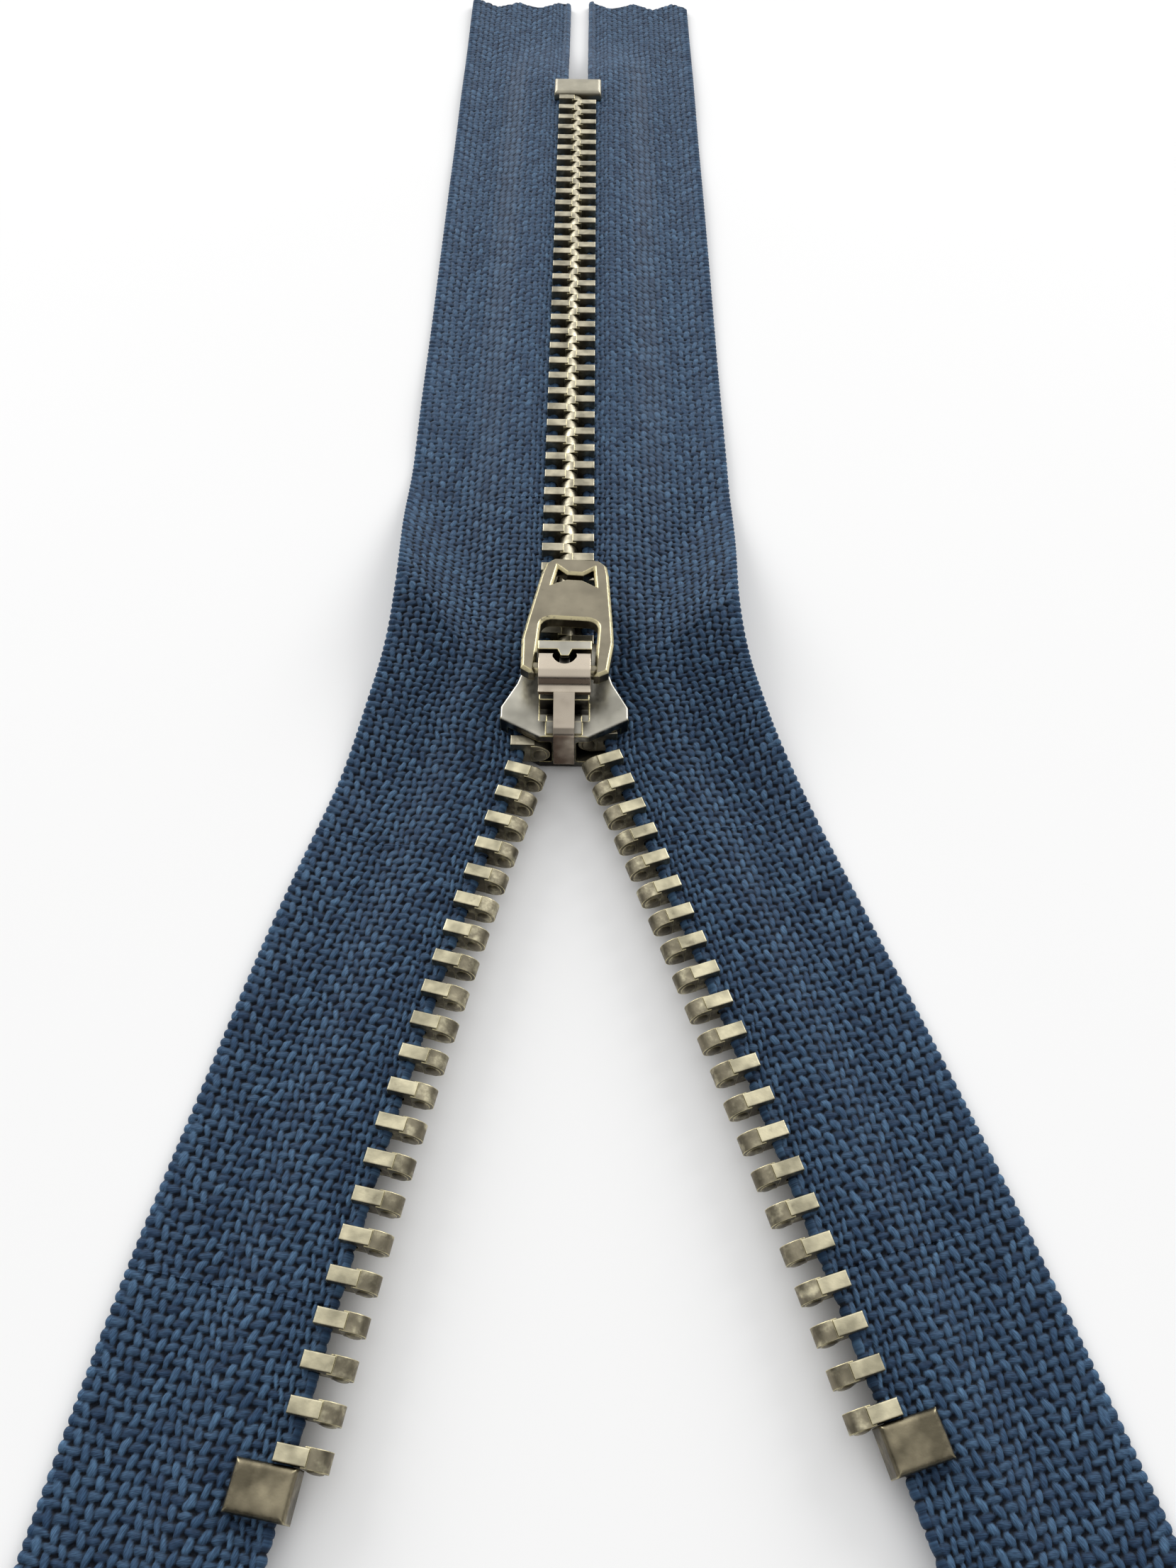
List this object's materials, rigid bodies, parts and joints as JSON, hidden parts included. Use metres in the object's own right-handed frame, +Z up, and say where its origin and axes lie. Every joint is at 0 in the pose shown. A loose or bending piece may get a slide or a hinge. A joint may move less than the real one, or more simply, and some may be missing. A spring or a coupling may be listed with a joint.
{
  "type": "zipper",
  "caption": "Metal zipper, part open: two herringbone tapes with rows of cast teeth, a self-locking slider with a hinged pull tab, and end stops.",
  "frame": {"origin": "middle of the underside of the slider's lower plate, on the surface the zipper lies on", "axes": "+Z up from the surface; +Y along the chain from the slider to the bottom stop; +X to the right seen with the open legs near"},
  "size_m": [0.0702, 0.2053, 0.0078],
  "materials": {
    "tape": "woven herringbone twill, navy",
    "bead": "corded edge, navy",
    "teeth": "antique brass, bright worn tops",
    "stops": "antique brass",
    "slider": "antique brass, brushed, worn edges",
    "cover": "copper-toned satin",
    "claw": "plain",
    "pull": "antique brass, brushed, worn edges"
  },
  "bodies": {
    "bottom_end": {"bottom_stop": "stops", "left_tail_tape": "tape", "left_tail_bead_cord": "bead", "right_tail_tape": "tape", "right_tail_bead_cord": "bead"},
    "left_half": {"left_closed_tape": "tape", "left_closed_bead_cord": "bead", "left_closed_teeth_1": "teeth", "left_closed_teeth_2": "teeth", "left_closed_teeth_3": "teeth", "left_closed_teeth_4": "teeth", "left_closed_teeth_5": "teeth", "left_closed_teeth_6": "teeth"},
    "right_half": {"right_closed_tape": "tape", "right_closed_bead_cord": "bead", "right_closed_teeth_1": "teeth", "right_closed_teeth_2": "teeth", "right_closed_teeth_3": "teeth", "right_closed_teeth_4": "teeth", "right_closed_teeth_5": "teeth", "right_closed_teeth_6": "teeth"},
    "left_leg": {"left_leg_tape": "tape", "left_leg_bead_cord": "bead", "left_top_stop": "stops", "left_leg_teeth_1": "teeth", "left_leg_teeth_2": "teeth", "left_leg_teeth_3": "teeth"},
    "right_leg": {"right_leg_tape": "tape", "right_leg_bead_cord": "bead", "right_top_stop": "stops", "right_leg_teeth_1": "teeth", "right_leg_teeth_2": "teeth", "right_leg_teeth_3": "teeth"},
    "slider": {"slider_body": "slider", "spring_cover": "cover"},
    "claw": {"lock_claw": "claw"},
    "pull": {"pull_tab": "pull"}
  },
  "joints": [
    {"name": "slider_slide", "type": "slide", "parent": "bottom_end", "child": "slider", "axis": [0, 1, 0], "range_m": [0, 0.0912], "deforming": ["left_closed_teeth_1", "left_closed_teeth_2", "left_closed_teeth_3", "left_closed_teeth_4", "left_closed_teeth_5", "left_closed_teeth_6", "right_closed_teeth_1", "right_closed_teeth_2", "right_closed_teeth_3", "right_closed_teeth_4", "right_closed_teeth_5", "right_closed_teeth_6"]},
    {"name": "left_half_part", "type": "hinge", "parent": "bottom_end", "child": "left_half", "pos_m": [0, 0.0964, 0.00205], "axis": [0, 0, -1], "range_deg": [0, 10]},
    {"name": "right_half_part", "type": "hinge", "parent": "bottom_end", "child": "right_half", "pos_m": [0, 0.0964, 0.00205], "axis": [0, 0, 1], "range_deg": [0, 10]},
    {"name": "left_leg_swing", "type": "hinge", "parent": "left_half", "child": "left_leg", "pos_m": [-0.00409, -0.00581, 0.00205], "axis": [0, 0, 1], "range_deg": [-20, 11]},
    {"name": "right_leg_swing", "type": "hinge", "parent": "right_half", "child": "right_leg", "pos_m": [0.0041, -0.00468, 0.00205], "axis": [0, 0, -1], "range_deg": [-20, 11]},
    {"name": "pull_swing", "type": "hinge", "parent": "slider", "child": "pull", "pos_m": [0, 0, 0.0061], "axis": [0.9981, -0.061, 0], "range_deg": [0, 165]},
    {"name": "claw_lift", "type": "slide", "parent": "slider", "child": "claw", "axis": [0, 0, 1], "range_m": [0, 0.00035]}
  ],
  "couplings": [
    {"joint": "left_half_part", "follows": "slider_slide", "rad_per_m": 1.9137},
    {"joint": "right_half_part", "follows": "slider_slide", "rad_per_m": 1.9137}
  ]
}
